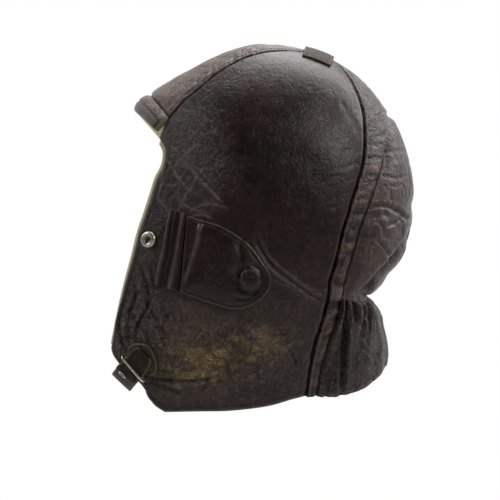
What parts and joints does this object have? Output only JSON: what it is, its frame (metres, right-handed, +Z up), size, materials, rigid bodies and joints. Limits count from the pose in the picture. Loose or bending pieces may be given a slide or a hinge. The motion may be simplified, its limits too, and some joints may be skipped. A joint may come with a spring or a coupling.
{
  "type": "leather flying helmet",
  "caption": "Close-fitting dark brown leather flying helmet with a ballooned back, gathered neck skirt, side flaps with snap caps, chin strap and cream lining.",
  "frame": {"origin": "inside the top of the crown, where the lining rests on the head", "axes": "+Z up along the height of the helmet, -Y towards the open face, +X towards the wearer's left"},
  "size_m": [0.1888, 0.2347, 0.2847],
  "materials": {
    "panel_leather": "worn satin",
    "trim_leather": "satin",
    "tan_webbing": "matte woven",
    "lining_cloth": "matte",
    "bright_steel": "bright nickel"
  },
  "bodies": {
    "root": {"side_panel_left": "panel_leather", "side_panel_right": "panel_leather", "crown_panel": "panel_leather", "rear_strip_left": "panel_leather", "rear_strip_right": "panel_leather", "back_panel": "panel_leather", "neck_skirt": "panel_leather", "brow_band": "panel_leather", "brow_tack_left": "tan_webbing", "brow_tack_right": "tan_webbing", "crown_tab": "trim_leather", "ear_flap_left": "trim_leather", "ear_flap_right": "trim_leather", "flap_pleat_left": "trim_leather", "flap_pleat_right": "trim_leather", "snap_cap_left": "trim_leather", "snap_cap_right": "trim_leather", "press_stud_left": "bright_steel", "press_stud_right": "bright_steel", "strap_patch_left": "trim_leather", "strap_patch_right": "trim_leather", "chin_strap": "trim_leather", "strap_eyelet": "bright_steel", "strap_slide": "bright_steel", "lining_left": "lining_cloth", "lining_right": "lining_cloth", "lining_middle": "lining_cloth"}
  },
  "joints": []
}
